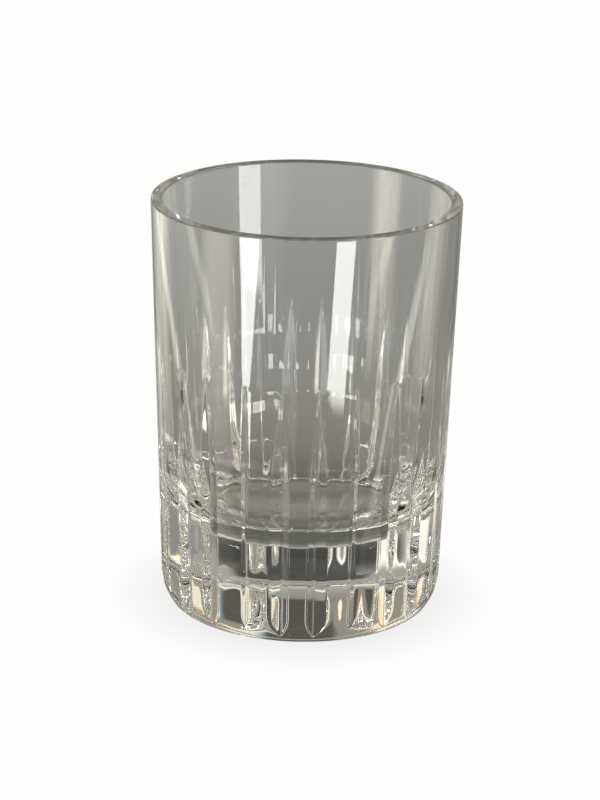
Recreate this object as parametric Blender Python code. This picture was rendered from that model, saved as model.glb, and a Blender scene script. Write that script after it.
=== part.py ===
"""A cut-crystal whiskey tumbler: one solid piece of glass.

The wall is a slightly flared cone with a flat polished lip. The cavity has a flat floor
with a tall round corner, over a thick solid base. Vertical V cuts run up the outside from
the rounded foot: wide cuts in mirrored pairs, with a thin cut between the two of a pair.
"""

import bmesh
import bpy
import math

# Driving dimensions, in metres and degrees.
HEIGHT = 0.103
RIM_RADIUS = 0.0379
BASE_RADIUS = 0.0348
FOOT_ARC_HEIGHT = 0.0070
FOOT_ARC_INSET = 0.0022
BEVEL = 0.0003

LIP_WIDTH = 0.0029
LIP_OUTER_ROUND = 0.0003
LIP_INNER_ROUND = 0.0003

FLOOR_HEIGHT = 0.0217
CORNER_WIDTH = 0.0140
CORNER_HEIGHT = 0.0240
WALL_AT_CORNER = 0.0043

# The cuts of one quarter: (angle of the crease, reach to its left and right, share of the full depth).
QUARTERS = 4
CUTS = [
    (6.65, 2.85, 4.25, 1.0),
    (21.3, 1.0, 1.0, 0.35),
    (38.35, 4.25, 2.85, 1.0),
    (51.65, 2.85, 4.25, 1.0),
    (68.7, 1.0, 1.0, 0.35),
    (83.35, 4.25, 2.85, 1.0),
]
CUT_DEPTH = 0.0011
CUT_TIP = 0.0652
CUT_RUN = 0.0300
NARROWEST = 0.02

GLASS_COLOUR = (0.93, 0.94, 0.92, 1.0)
GLASS_ROUGHNESS = 0.02
GLASS_IOR = 1.545
SHARP_ANGLE = 14

FOOT_BANDS = 5
RUN_BANDS = 12
LAND_STEPS = 4
LIP_STEPS = 3
WALL_BANDS = 3
CORNER_STEPS = 12


def foot_inset(z):
    """How far the rounded foot lies inside the cone."""
    if z >= FOOT_ARC_HEIGHT:
        return 0.0
    arc = (FOOT_ARC_HEIGHT ** 2 + FOOT_ARC_INSET ** 2) / (2 * FOOT_ARC_INSET)
    return arc - math.sqrt(arc ** 2 - (FOOT_ARC_HEIGHT - z) ** 2)


def outer_radius(z):
    """The uncut outside: a cone that turns in over a short arc at its foot."""
    return BASE_RADIUS + (RIM_RADIUS - BASE_RADIUS) * z / HEIGHT - foot_inset(z)


def cut_depth(z, full):
    """A wheel runs straight down the cone: its arc ends the cut above, and the rounded foot below."""
    start = CUT_TIP - CUT_RUN
    share = 1 - (max(z - start, 0) / CUT_RUN) ** 2
    return max(full * share - foot_inset(z), 0.0)


def point(radius, angle, z):
    turn = math.radians(angle)
    return (radius * math.sin(turn), -radius * math.cos(turn), z)


def outline(z, inset=0.0):
    """The outer outline at height z: each cut's two edges and its crease, and the land between cuts."""
    radius = outer_radius(z) - inset
    cuts = []
    for quarter in range(QUARTERS):
        for crease, left, right, share in CUTS:
            full = CUT_DEPTH * share
            depth = cut_depth(z, full)
            width = max(depth / full, NARROWEST)
            middle = quarter * 360 / QUARTERS + crease
            cuts.append((middle - left * width, middle, middle + right * width, depth))
    ring = []
    for index, (low, middle, high, depth) in enumerate(cuts):
        ring.append(point(radius, low, z))
        ring.append(point(radius - depth, middle, z))
        ring.append(point(radius, high, z))
        land_end = cuts[(index + 1) % len(cuts)][0] + (360 if index + 1 == len(cuts) else 0)
        for step in range(1, LAND_STEPS):
            ring.append(point(radius, high + (land_end - high) * step / LAND_STEPS, z))
    return ring


def outer_heights():
    """Closer together over the rounded foot and where the cuts run out."""
    found = [BEVEL + (FOOT_ARC_HEIGHT - BEVEL) * step / FOOT_BANDS for step in range(FOOT_BANDS + 1)]
    start = CUT_TIP - CUT_RUN
    found += [start + CUT_RUN * step / RUN_BANDS for step in range(RUN_BANDS + 1)]
    return found + [HEIGHT - LIP_OUTER_ROUND]


def circle(radius, z):
    """A plain ring with as many points as the outline, at the same angles as the uncut wall."""
    plain = outline(HEIGHT)
    scale = radius / RIM_RADIUS
    return [(x * scale, y * scale, z) for x, y, _ in plain]


def lip_rings():
    """The flat lip with its two small rounded edges, from the outside to the inside."""
    rings = []
    for step in range(1, LIP_STEPS + 1):
        turn = math.pi / 2 * step / LIP_STEPS
        radius = RIM_RADIUS - LIP_OUTER_ROUND * (1 - math.cos(turn))
        rings.append(circle(radius, HEIGHT - LIP_OUTER_ROUND * (1 - math.sin(turn))))
    bore = RIM_RADIUS - LIP_WIDTH
    for step in range(LIP_STEPS + 1):
        turn = math.pi / 2 * step / LIP_STEPS
        radius = bore + LIP_INNER_ROUND * (1 - math.sin(turn))
        rings.append(circle(radius, HEIGHT - LIP_INNER_ROUND * (1 - math.cos(turn))))
    return rings


def cavity_rings():
    """The cavity, from under the lip down its wall, round the tall corner and on to the flat floor."""
    top = HEIGHT - LIP_INNER_ROUND
    bore = RIM_RADIUS - LIP_WIDTH
    corner_top = FLOOR_HEIGHT + CORNER_HEIGHT
    corner_wall = outer_radius(corner_top) - WALL_AT_CORNER
    rings = []
    for step in range(1, WALL_BANDS + 1):
        share = step / WALL_BANDS
        rings.append(circle(bore + (corner_wall - bore) * share, top + (corner_top - top) * share))
    for step in range(1, CORNER_STEPS + 1):
        turn = math.pi / 2 * step / CORNER_STEPS
        radius = corner_wall - CORNER_WIDTH * (1 - math.cos(turn))
        rings.append(circle(radius, corner_top - CORNER_HEIGHT * math.sin(turn)))
    return rings


def tumbler_rings():
    rings = [outline(0.0, BEVEL)]
    rings += [outline(z) for z in outer_heights()]
    return rings + lip_rings() + cavity_rings()


def glass_material():
    material = bpy.data.materials.new("crystal")
    material.use_nodes = True
    shader = material.node_tree.nodes["Principled BSDF"]
    shader.inputs["Base Color"].default_value = GLASS_COLOUR
    shader.inputs["Roughness"].default_value = GLASS_ROUGHNESS
    shader.inputs["IOR"].default_value = GLASS_IOR
    shader.inputs["Transmission Weight"].default_value = 1.0
    return material


def build_tumbler():
    """Joins the rings into one closed skin, with a flat base face and a flat floor face."""
    bm = bmesh.new()
    rings = [[bm.verts.new(place) for place in ring] for ring in tumbler_rings()]
    for lower, upper in zip(rings, rings[1:]):
        for index in range(len(lower)):
            after = (index + 1) % len(lower)
            bm.faces.new((lower[index], lower[after], upper[after], upper[index]))
    bm.faces.new(reversed(rings[0]))
    bm.faces.new(rings[-1])
    mesh = bpy.data.meshes.new("tumbler")
    bm.to_mesh(mesh)
    bm.free()
    mesh.shade_smooth()
    mesh.set_sharp_from_angle(angle=math.radians(SHARP_ANGLE))
    tumbler = bpy.data.objects.new("tumbler", mesh)
    tumbler.data.materials.append(glass_material())
    bpy.context.scene.collection.objects.link(tumbler)
    return tumbler


for old in list(bpy.data.objects):
    bpy.data.objects.remove(old)
build_tumbler()
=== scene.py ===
import math

import bmesh
import bpy
from mathutils import Matrix, Vector


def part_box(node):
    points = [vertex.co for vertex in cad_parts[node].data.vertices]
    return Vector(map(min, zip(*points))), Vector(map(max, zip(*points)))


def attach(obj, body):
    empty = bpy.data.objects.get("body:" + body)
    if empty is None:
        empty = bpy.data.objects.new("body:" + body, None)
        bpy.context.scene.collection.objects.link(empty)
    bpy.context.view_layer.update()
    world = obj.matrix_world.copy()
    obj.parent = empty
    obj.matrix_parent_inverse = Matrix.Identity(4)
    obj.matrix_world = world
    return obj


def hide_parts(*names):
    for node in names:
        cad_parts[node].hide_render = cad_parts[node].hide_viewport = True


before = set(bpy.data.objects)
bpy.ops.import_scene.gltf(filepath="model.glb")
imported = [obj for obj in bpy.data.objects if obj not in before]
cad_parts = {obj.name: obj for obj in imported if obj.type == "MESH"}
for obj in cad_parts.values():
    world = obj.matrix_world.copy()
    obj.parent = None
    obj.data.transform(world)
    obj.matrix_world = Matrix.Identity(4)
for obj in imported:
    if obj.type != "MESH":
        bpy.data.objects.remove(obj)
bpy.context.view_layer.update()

LOW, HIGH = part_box("tumbler")

# Lengths in metres and angles in degrees. The outside follows the CAD solid's box.
HEIGHT = HIGH.z - LOW.z
RIM_RADIUS = min(HIGH.x, HIGH.y)
BASE_SHARE = 0.919
BASE_RADIUS = BASE_SHARE * RIM_RADIUS
FOOT_ARC_HEIGHT = 0.0070
FOOT_ARC_INSET = 0.0022
BEVEL = 0.0003

LIP_WIDTH = 0.0029
LIP_OUTER_ROUND = 0.0003
LIP_INNER_ROUND = 0.0003

FLOOR_HEIGHT = 0.0217
CORNER_WIDTH = 0.0140
CORNER_HEIGHT = 0.0240
WALL_AT_CORNER = 0.0043

# The cuts of one sector: (angle of the crease, reach to its left and right, share of the full depth).
SECTOR_COUNT = 4
CUTS = [
    (6.65, 2.85, 4.25, 1.0),
    (21.3, 1.0, 1.0, 0.35),
    (38.35, 4.25, 2.85, 1.0),
    (51.65, 2.85, 4.25, 1.0),
    (68.7, 1.0, 1.0, 0.35),
    (83.35, 4.25, 2.85, 1.0),
]
CUT_DEPTH = 0.0011
CUT_TIP = 0.0652
CUT_RUN = 0.0300

# Cut edges are polished round over POLISH. The mesh is finer within SOFT_REACH of a crease or an
# edge, or within MOST_SOFT of a narrow facet's width, and it stays fine to PAST_EDGE beyond it.
POLISH = 0.00015
NARROWEST = 2 * POLISH
SOFT_REACH = 3 * POLISH
MOST_SOFT = 0.45
PAST_EDGE = 4 * POLISH

# How many steps the mesh takes over each stretch, and how far apart its outer rings are.
EDGE_STEPS = 6
FACET_STEPS = 2
CREASE_STEPS = 3
LAND_STEPS = 7
LIP_ARC_STEPS = 5
BEVEL_STEPS = 4
CORNER_STEPS = 40
WALL_STEPS = 4
FOOT_STEP = 0.0004
RUN_STEP = 0.0007
RUN_MARGIN = 0.001
PLAIN_STEP = 0.0040
# A ring this close to a bend keeps the smooth shading of the bend off the plain surface beside it.
GUARD = 0.0002

GLASS_COLOUR = (0.99, 0.99, 0.985, 1)
GLASS_IOR = 1.545

# The camera, as fitted to the object's outline.
CAMERA_DISTANCE = 0.7106
CAMERA_ELEVATION = 18.99
CAMERA_AZIMUTH = 0.8
CAMERA_ROLL = 1.10
CAMERA_LENS = 128.8
CAMERA_SENSOR = 36
CAMERA_SHIFT = (-0.004, -0.001875)
CAMERA_NEAR = 0.01

# The room that the glass sees: its tone by elevation, then windows over it.
ROOM = [
    (-60, (0.10, 0.10, 0.09)),
    (-24, (0.24, 0.233, 0.205)),
    (-19, (0.27, 0.268, 0.255)),
    (-15, (0.36, 0.36, 0.345)),
    (-2, (0.38, 0.37, 0.33)),
    (14, (0.30, 0.29, 0.245)),
    (28, (0.28, 0.27, 0.225)),
    (45, (0.34, 0.33, 0.29)),
    (90, (0.50, 0.49, 0.45)),
]
# (heading, elevation, softness, brightness, colour fringe, lean). Headings count from the side
# where the camera stands. Brightness adds to the room's tone, so a negative one darkens it. The
# lean turns a window's left and right edges by that many degrees for each degree above
# LEAN_ELEVATION.
LEAN_ELEVATION = -20
WINDOWS = [
    ((21, 35), (-22.4, -18.2), 0.3, (13.0, 13.0, 12.6), 0, (1.5, 1.5)),
    ((-50, -37), (-24.2, -18.2), 0.6, (13.0, 13.0, 12.6), 0, (-0.9, 2.4)),
    ((39, 58), (-12.6, 0.0), 0.5, (13.0, 13.0, 12.7), 0, (0, 0)),
    ((20, 41), (-12.0, -2.0), 9.0, (1.2, 1.2, 1.25), 0, (0, 0)),
    ((-82, -57), (-23, 0), 4.5, (2.4, 2.2, 1.85), 0, (0, 0)),
    ((-158, -126), (-19, -8), 4.0, (0.70, 0.68, 0.60), 0, (0, 0)),
    ((-154, -140), (-22, -15), 5.0, (0.66, 0.62, 0.50), 0, (0, 0)),
    ((-117, -112), (-24, -17), 2.0, (2.2, 2.15, 2.0), 0, (-8, -8)),
    ((84, 90), (-24, -18.8), 1.5, (3.5, 3.4, 3.0), 0, (7, 7)),
    ((-100, -70), (8, 60), 3.0, (1.0, 0.91, 0.74), 1.0, (0, 0)),
    ((70, 110), (20, 60), 3.0, (1.0, 0.91, 0.74), 1.0, (0, 0)),
    ((120, 135), (-5, 6), 3.0, (1.0, 0.88, 0.65), 1.0, (0, 0)),
    ((-150, -128), (15, 40), 3.0, (0.85, 0.78, 0.60), 1.0, (0, 0)),
    ((150, 166), (15, 45), 3.0, (0.65, 0.60, 0.46), 1.0, (0, 0)),
    ((157, 167), (-21, -8), 1.5, (0.14, 0.14, 0.125), 0, (0, 0)),
    ((-172, -156), (-20.0, -8), 3.0, (0.15, 0.148, 0.135), 0, (0, 0)),
    ((168, 200), (14, 30), 2.0, (-0.205, -0.20, -0.165), 0, (0, 0)),
    ((-200, -168), (14, 30), 2.0, (-0.205, -0.20, -0.165), 0, (0, 0)),
]
# A painted shadow of the glass on the floor behind it: the share of the room's light that the floor
# gives back there, by distance from its axis. It sets in between the two headings and between the
# two elevations of a ray.
NEAR_SHADES = [(0.040, 0.64), (0.050, 0.17), (0.057, 0.17), (0.079, 1.0)]
NEAR_HEADINGS = (157, 163)
NEAR_ELEVATIONS = (-31, -27)

# The pale floor as the camera sees it, with a soft contact shade round the foot.
PAPER = (0.99, 0.99, 0.985)
CONTACT_TONE = 0.86
CONTACT_REACH = (0.028, 0.052)
STAGE_SIZE = 6
STAGE_GAP = 0.0003

# Light passes many walls of glass before it leaves.
GLASS_BOUNCES = 24
GLOSSY_BOUNCES = 16


def foot_inset(z):
    """How far the rounded foot lies inside the cone."""
    if z >= FOOT_ARC_HEIGHT:
        return 0.0
    arc = (FOOT_ARC_HEIGHT ** 2 + FOOT_ARC_INSET ** 2) / (2 * FOOT_ARC_INSET)
    return arc - math.sqrt(arc ** 2 - (FOOT_ARC_HEIGHT - z) ** 2)


def outer_radius(z):
    """The uncut outside: a cone that turns in over a short arc at its foot."""
    return BASE_RADIUS + (RIM_RADIUS - BASE_RADIUS) * z / HEIGHT - foot_inset(z)


def cut_depth(z, full):
    """A wheel runs straight down the cone: its arc ends the cut above, and the rounded foot below."""
    start = CUT_TIP - CUT_RUN
    share = 1 - (max(z - start, 0) / CUT_RUN) ** 2
    return max(full * share - foot_inset(z), 0.0)


def rounded_over(value):
    """Like max(0, value), with the corner polished round."""
    return (value + math.hypot(value, POLISH)) / 2


def half_positions(width):
    """Distances from a cut's crease outward to just past one of its edges, closest at both."""
    width = max(width, NARROWEST)
    soft = min(SOFT_REACH, MOST_SOFT * width)
    stops = [(0.0, CREASE_STEPS), (soft, FACET_STEPS), (width - soft, EDGE_STEPS), (width + PAST_EDGE, 0)]
    places = []
    for (start, steps), (end, _) in zip(stops, stops[1:]):
        places += [start + (end - start) * step / steps for step in range(1, steps + 1)]
    return places


def cut_columns(z, arc, left, right, share):
    """(distance from the crease, sunk depth) of each column across one cut, from left to right."""
    full = CUT_DEPTH * share
    depth = cut_depth(z, full)
    bottom = rounded_over(depth) if depth > 0 else 0.0
    sides = []
    for reach in (left * arc, right * arc):
        side = []
        for place in half_positions(reach * depth / full):
            off = math.hypot(place, POLISH) - POLISH
            side.append((place, rounded_over(depth - full * off / reach) if depth > 0 else 0.0))
        sides.append(side)
    return [(-place, down) for place, down in reversed(sides[0])] + [(0.0, bottom)] + sides[1]


def outline(z, inset=0.0):
    """One ring of the cut outside, with a plain land after each cut."""
    radius = outer_radius(z)
    arc = math.radians(1) * radius
    sector = 360 / SECTOR_COUNT
    cuts = []
    for number in range(SECTOR_COUNT):
        for crease, left, right, share in CUTS:
            columns = cut_columns(z, arc, left, right, share)
            cuts.append([(sector * number + crease + place / arc, down) for place, down in columns])
    ring = []
    for index, cut in enumerate(cuts):
        ring += cut
        start = cut[-1][0]
        end = cuts[(index + 1) % len(cuts)][0][0] + (360 if index + 1 == len(cuts) else 0)
        for step in range(1, LAND_STEPS):
            ring.append((start + (end - start) * step / LAND_STEPS, 0.0))
    return [polar(radius - inset - down, angle, z) for angle, down in ring]


def polar(radius, angle, z):
    turn = math.radians(angle)
    return Vector((radius * math.sin(turn), -radius * math.cos(turn), z))


def heights():
    """Heights of the outer rings: closer over the rounded foot and where the cuts run out."""
    found = []
    z = BEVEL
    top = HEIGHT - LIP_OUTER_ROUND
    while z < top - PLAIN_STEP / 2:
        found.append(z)
        fine = CUT_TIP - CUT_RUN < z < CUT_TIP + RUN_MARGIN
        z += FOOT_STEP if z < FOOT_ARC_HEIGHT else RUN_STEP if fine else PLAIN_STEP
    return found + [top - GUARD, top]


def inside_profile():
    """(radius, height) from the lip's outer edge, over it and down to the edge of the flat floor."""
    profile = []
    outer = LIP_OUTER_ROUND
    for step in range(1, LIP_ARC_STEPS + 1):
        turn = math.pi / 2 * step / LIP_ARC_STEPS
        profile.append((RIM_RADIUS - outer * (1 - math.cos(turn)), HEIGHT - outer * (1 - math.sin(turn))))
    inner = LIP_INNER_ROUND
    bore = RIM_RADIUS - LIP_WIDTH
    profile.append((RIM_RADIUS - outer - GUARD, HEIGHT))
    profile.append((bore + inner + GUARD, HEIGHT))
    for step in range(LIP_ARC_STEPS + 1):
        turn = math.pi / 2 * step / LIP_ARC_STEPS
        profile.append((bore + inner * (1 - math.sin(turn)), HEIGHT - inner * (1 - math.cos(turn))))
    corner_top = FLOOR_HEIGHT + CORNER_HEIGHT
    corner_wall = outer_radius(corner_top) - WALL_AT_CORNER
    wall = HEIGHT - inner - corner_top
    for down in (GUARD, *(wall * step / WALL_STEPS for step in range(1, WALL_STEPS)), wall - GUARD, wall):
        profile.append((bore + (corner_wall - bore) * down / wall, HEIGHT - inner - down))
    for step in range(1, CORNER_STEPS + 1):
        turn = math.pi / 2 * step / CORNER_STEPS
        radius = corner_wall - CORNER_WIDTH * (1 - math.cos(turn))
        profile.append((radius, corner_top - CORNER_HEIGHT * math.sin(turn)))
    profile.append((corner_wall - CORNER_WIDTH - GUARD, FLOOR_HEIGHT))
    return profile


def build_glass(material):
    rings = []
    for step in range(BEVEL_STEPS):
        turn = math.pi / 2 * step / BEVEL_STEPS
        rings.append(outline(BEVEL * (1 - math.cos(turn)), BEVEL * (1 - math.sin(turn))))
    rings += [outline(z) for z in heights()]
    angles = [math.degrees(math.atan2(place.x, -place.y)) for place in rings[-1]]
    rings += [[polar(radius, angle, z) for angle in angles] for radius, z in inside_profile()]

    bm = bmesh.new()
    loops = [[bm.verts.new(place) for place in ring] for ring in rings]
    for lower, upper in zip(loops, loops[1:]):
        for index in range(len(lower)):
            after = (index + 1) % len(lower)
            bm.faces.new((lower[index], lower[after], upper[after], upper[index])).smooth = True
    base = bm.faces.new(reversed(loops[0]))
    base.smooth = False
    for edge in base.edges:
        edge.smooth = False
    bm.faces.new(loops[-1])
    mesh = bpy.data.meshes.new("crystal_body")
    bm.to_mesh(mesh)
    bm.free()
    body = bpy.data.objects.new("crystal_body", mesh)
    body.data.materials.append(material)
    bpy.context.scene.collection.objects.link(body)
    return body


def glass_material():
    material = bpy.data.materials.new("lead_crystal")
    material.use_nodes = True
    shader = material.node_tree.nodes["Principled BSDF"]
    shader.inputs["Base Color"].default_value = GLASS_COLOUR
    shader.inputs["Roughness"].default_value = 0.0
    shader.inputs["IOR"].default_value = GLASS_IOR
    shader.inputs["Transmission Weight"].default_value = 1.0
    return material


class Arithmetic:
    """Writes shader arithmetic as nested calls."""

    def __init__(self, tree):
        self.tree = tree

    def put(self, value, socket):
        if isinstance(value, (int, float)):
            socket.default_value = value
        else:
            self.tree.links.new(value, socket)

    def math(self, operation, *values):
        node = self.tree.nodes.new("ShaderNodeMath")
        node.operation = operation
        for socket, value in zip(node.inputs, values):
            self.put(value, socket)
        return node.outputs[0]

    def step(self, value, low, high):
        """0 below low and 1 above high, smooth between."""
        node = self.tree.nodes.new("ShaderNodeMapRange")
        node.interpolation_type = "SMOOTHSTEP"
        self.put(value, node.inputs["Value"])
        node.inputs["From Min"].default_value = low
        node.inputs["From Max"].default_value = high
        return node.outputs["Result"]

    def band(self, rising, low, falling, high, soft):
        """1 where rising is over low and falling is under high."""
        rise = self.step(rising, low - soft, low + soft)
        stay = self.math("SUBTRACT", 1.0, self.step(falling, high - soft, high + soft))
        return self.math("MULTIPLY", rise, stay)

    def mix(self, share, first, second):
        """Mixes two colours, which are sockets 6 and 7 of the node."""
        node = self.tree.nodes.new("ShaderNodeMix")
        node.data_type = "RGBA"
        self.put(share, node.inputs[0])
        for socket, value in ((node.inputs[6], first), (node.inputs[7], second)):
            if isinstance(value, tuple):
                socket.default_value = (*value, 1)
            else:
                self.tree.links.new(value, socket)
        return node.outputs[2]

    def scaled(self, colour, shares):
        """A colour times a share for each of its three channels."""
        join = self.tree.nodes.new("ShaderNodeCombineXYZ")
        for socket, share in zip(join.inputs, shares):
            self.put(share, socket)
        node = self.tree.nodes.new("ShaderNodeVectorMath")
        node.operation = "MULTIPLY"
        if isinstance(colour, tuple):
            node.inputs[0].default_value = colour
        else:
            self.tree.links.new(colour, node.inputs[0])
        self.tree.links.new(join.outputs[0], node.inputs[1])
        return node.outputs[0]

    def plus(self, first, second):
        node = self.tree.nodes.new("ShaderNodeVectorMath")
        node.operation = "ADD"
        self.tree.links.new(first, node.inputs[0])
        self.tree.links.new(second, node.inputs[1])
        return node.outputs[0]


def bearings(tree, direction):
    """A direction's heading and elevation: 0 is towards the camera, and the room turns with it."""
    kit = Arithmetic(tree)
    sideways = tree.nodes.new("ShaderNodeVectorTransform")
    sideways.vector_type = "VECTOR"
    sideways.convert_from = "CAMERA"
    sideways.convert_to = "WORLD"
    sideways.inputs[0].default_value = (1, 0, 0)
    right = tree.nodes.new("ShaderNodeSeparateXYZ")
    tree.links.new(sideways.outputs[0], right.inputs[0])
    parts = tree.nodes.new("ShaderNodeSeparateXYZ")
    tree.links.new(direction, parts.inputs[0])
    x, y, z = parts.outputs
    across, along = right.outputs[0], right.outputs[1]
    rightward = kit.math("ADD", kit.math("MULTIPLY", x, across), kit.math("MULTIPLY", y, along))
    nearward = kit.math("SUBTRACT", kit.math("MULTIPLY", x, along), kit.math("MULTIPLY", y, across))
    heading = kit.math("MULTIPLY", kit.math("ARCTAN2", rightward, nearward), 180 / math.pi)
    elevation = kit.math("MULTIPLY", kit.math("ARCSINE", z), 180 / math.pi)
    return heading, elevation


def surroundings(tree, direction):
    """The colour seen along a direction: a grey room with its windows."""
    kit = Arithmetic(tree)
    heading, elevation = bearings(tree, direction)
    colour = ROOM[0][1]
    for (low, _), (high, shade) in zip(ROOM, ROOM[1:]):
        colour = kit.mix(kit.step(elevation, low, high), colour, shade)
    above = kit.math("SUBTRACT", elevation, LEAN_ELEVATION)
    for (left, right), (low, high), soft, shade, fringe, leans in WINDOWS:
        turned = [kit.math("SUBTRACT", heading, kit.math("MULTIPLY", above, lean)) for lean in leans]
        shares = []
        for shift in (-fringe, 0, fringe) if fringe else (0,):
            across = kit.band(turned[0], left + shift, turned[1], right + shift, soft)
            upward = kit.band(elevation, low + shift, elevation, high + shift, soft)
            shares.append(kit.math("MULTIPLY", across, upward))
        if not fringe:
            shares *= 3
        colour = kit.plus(colour, kit.scaled(shade, shares))
    return colour


def by_viewer(tree, kind, seen, unseen):
    """Mixes two emitting shaders: one for what the camera sees directly, one for what the glass sees."""
    path = tree.nodes.new("ShaderNodeLightPath")
    mix = tree.nodes.new("ShaderNodeMixShader")
    tree.links.new(path.outputs["Is Camera Ray"], mix.inputs[0])
    for socket, colour in ((mix.inputs[1], unseen), (mix.inputs[2], seen)):
        shader = tree.nodes.new(kind)
        if isinstance(colour, tuple):
            shader.inputs["Color"].default_value = (*colour, 1)
        else:
            tree.links.new(colour, shader.inputs["Color"])
        tree.links.new(shader.outputs[0], socket)
    return mix.outputs[0]


def floor_material():
    """Pale to the camera, with a soft shade round the foot; the glass sees the room through it, with a
    painted shadow of the glass behind its foot.
    """
    material = bpy.data.materials.new("floor")
    material.use_nodes = True
    tree = material.node_tree
    tree.nodes.clear()
    kit = Arithmetic(tree)
    geometry = tree.nodes.new("ShaderNodeNewGeometry")
    turned = tree.nodes.new("ShaderNodeVectorMath")
    turned.operation = "SCALE"
    turned.inputs["Scale"].default_value = -1
    tree.links.new(geometry.outputs["Incoming"], turned.inputs[0])
    away = tree.nodes.new("ShaderNodeVectorMath")
    away.operation = "LENGTH"
    tree.links.new(geometry.outputs["Position"], away.inputs[0])
    distance = away.outputs["Value"]
    heading, elevation = bearings(tree, turned.outputs[0])
    # Painted shadow of the glass on the floor: it darkens the room that the glass's rays see just behind
    # the foot.
    behind = kit.step(kit.math("ABSOLUTE", heading), *NEAR_HEADINGS)
    behind = kit.math("MULTIPLY", behind, kit.step(elevation, *NEAR_ELEVATIONS))
    share = NEAR_SHADES[0][1]
    for (start, before), (end, after) in zip(NEAR_SHADES, NEAR_SHADES[1:]):
        share = kit.math("ADD", share, kit.math("MULTIPLY", after - before, kit.step(distance, start, end)))
    shade = kit.math("MULTIPLY", behind, kit.math("SUBTRACT", 1.0, share))
    near = kit.math("SUBTRACT", 1.0, shade)
    unseen = kit.scaled(surroundings(tree, turned.outputs[0]), (near, near, near))
    lift = kit.math("MULTIPLY", 1 - CONTACT_TONE, kit.step(distance, *CONTACT_REACH))
    contact = kit.math("ADD", CONTACT_TONE, lift)
    seen = kit.scaled(PAPER, (contact, contact, contact))
    output = tree.nodes.new("ShaderNodeOutputMaterial")
    tree.links.new(by_viewer(tree, "ShaderNodeEmission", seen, unseen), output.inputs[0])
    return material


def build_floor():
    mesh = bpy.data.meshes.new("floor")
    bm = bmesh.new()
    bmesh.ops.create_grid(bm, x_segments=1, y_segments=1, size=STAGE_SIZE)
    bm.to_mesh(mesh)
    bm.free()
    floor = bpy.data.objects.new("floor", mesh)
    floor.location.z = LOW.z - STAGE_GAP
    floor.data.materials.append(floor_material())
    bpy.context.scene.collection.objects.link(floor)


def build_world():
    world = bpy.data.worlds.new("studio")
    bpy.context.scene.world = world
    world.use_nodes = True
    tree = world.node_tree
    tree.nodes.clear()
    place = tree.nodes.new("ShaderNodeTexCoord")
    unseen = surroundings(tree, place.outputs["Generated"])
    output = tree.nodes.new("ShaderNodeOutputWorld")
    tree.links.new(by_viewer(tree, "ShaderNodeBackground", PAPER, unseen), output.inputs[0])


def build_camera():
    data = bpy.data.cameras.new("camera")
    camera = bpy.data.objects.new("camera", data)
    bpy.context.scene.collection.objects.link(camera)
    azimuth = math.radians(CAMERA_AZIMUTH)
    tilt = math.radians(CAMERA_ELEVATION)
    back = Vector((math.sin(azimuth) * math.cos(tilt), -math.cos(azimuth) * math.cos(tilt), math.sin(tilt)))
    camera.location = Vector((0, 0, HEIGHT / 2)) + back * CAMERA_DISTANCE
    aim = (-back).to_track_quat("-Z", "Y").to_matrix().to_4x4()
    roll = Matrix.Rotation(math.radians(CAMERA_ROLL), 4, "Z")
    camera.rotation_euler = (aim @ roll).to_euler()
    data.lens = CAMERA_LENS
    data.sensor_width = CAMERA_SENSOR
    data.shift_x, data.shift_y = CAMERA_SHIFT
    data.clip_start = CAMERA_NEAR
    bpy.context.scene.camera = camera


glass = build_glass(glass_material())
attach(glass, "root")
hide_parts("tumbler")
build_floor()
build_world()
build_camera()
scene = bpy.context.scene
scene.view_settings.view_transform = "Standard"
scene.cycles.max_bounces = GLASS_BOUNCES
scene.cycles.transmission_bounces = GLASS_BOUNCES
scene.cycles.glossy_bounces = GLOSSY_BOUNCES
scene.cycles.use_denoising = True
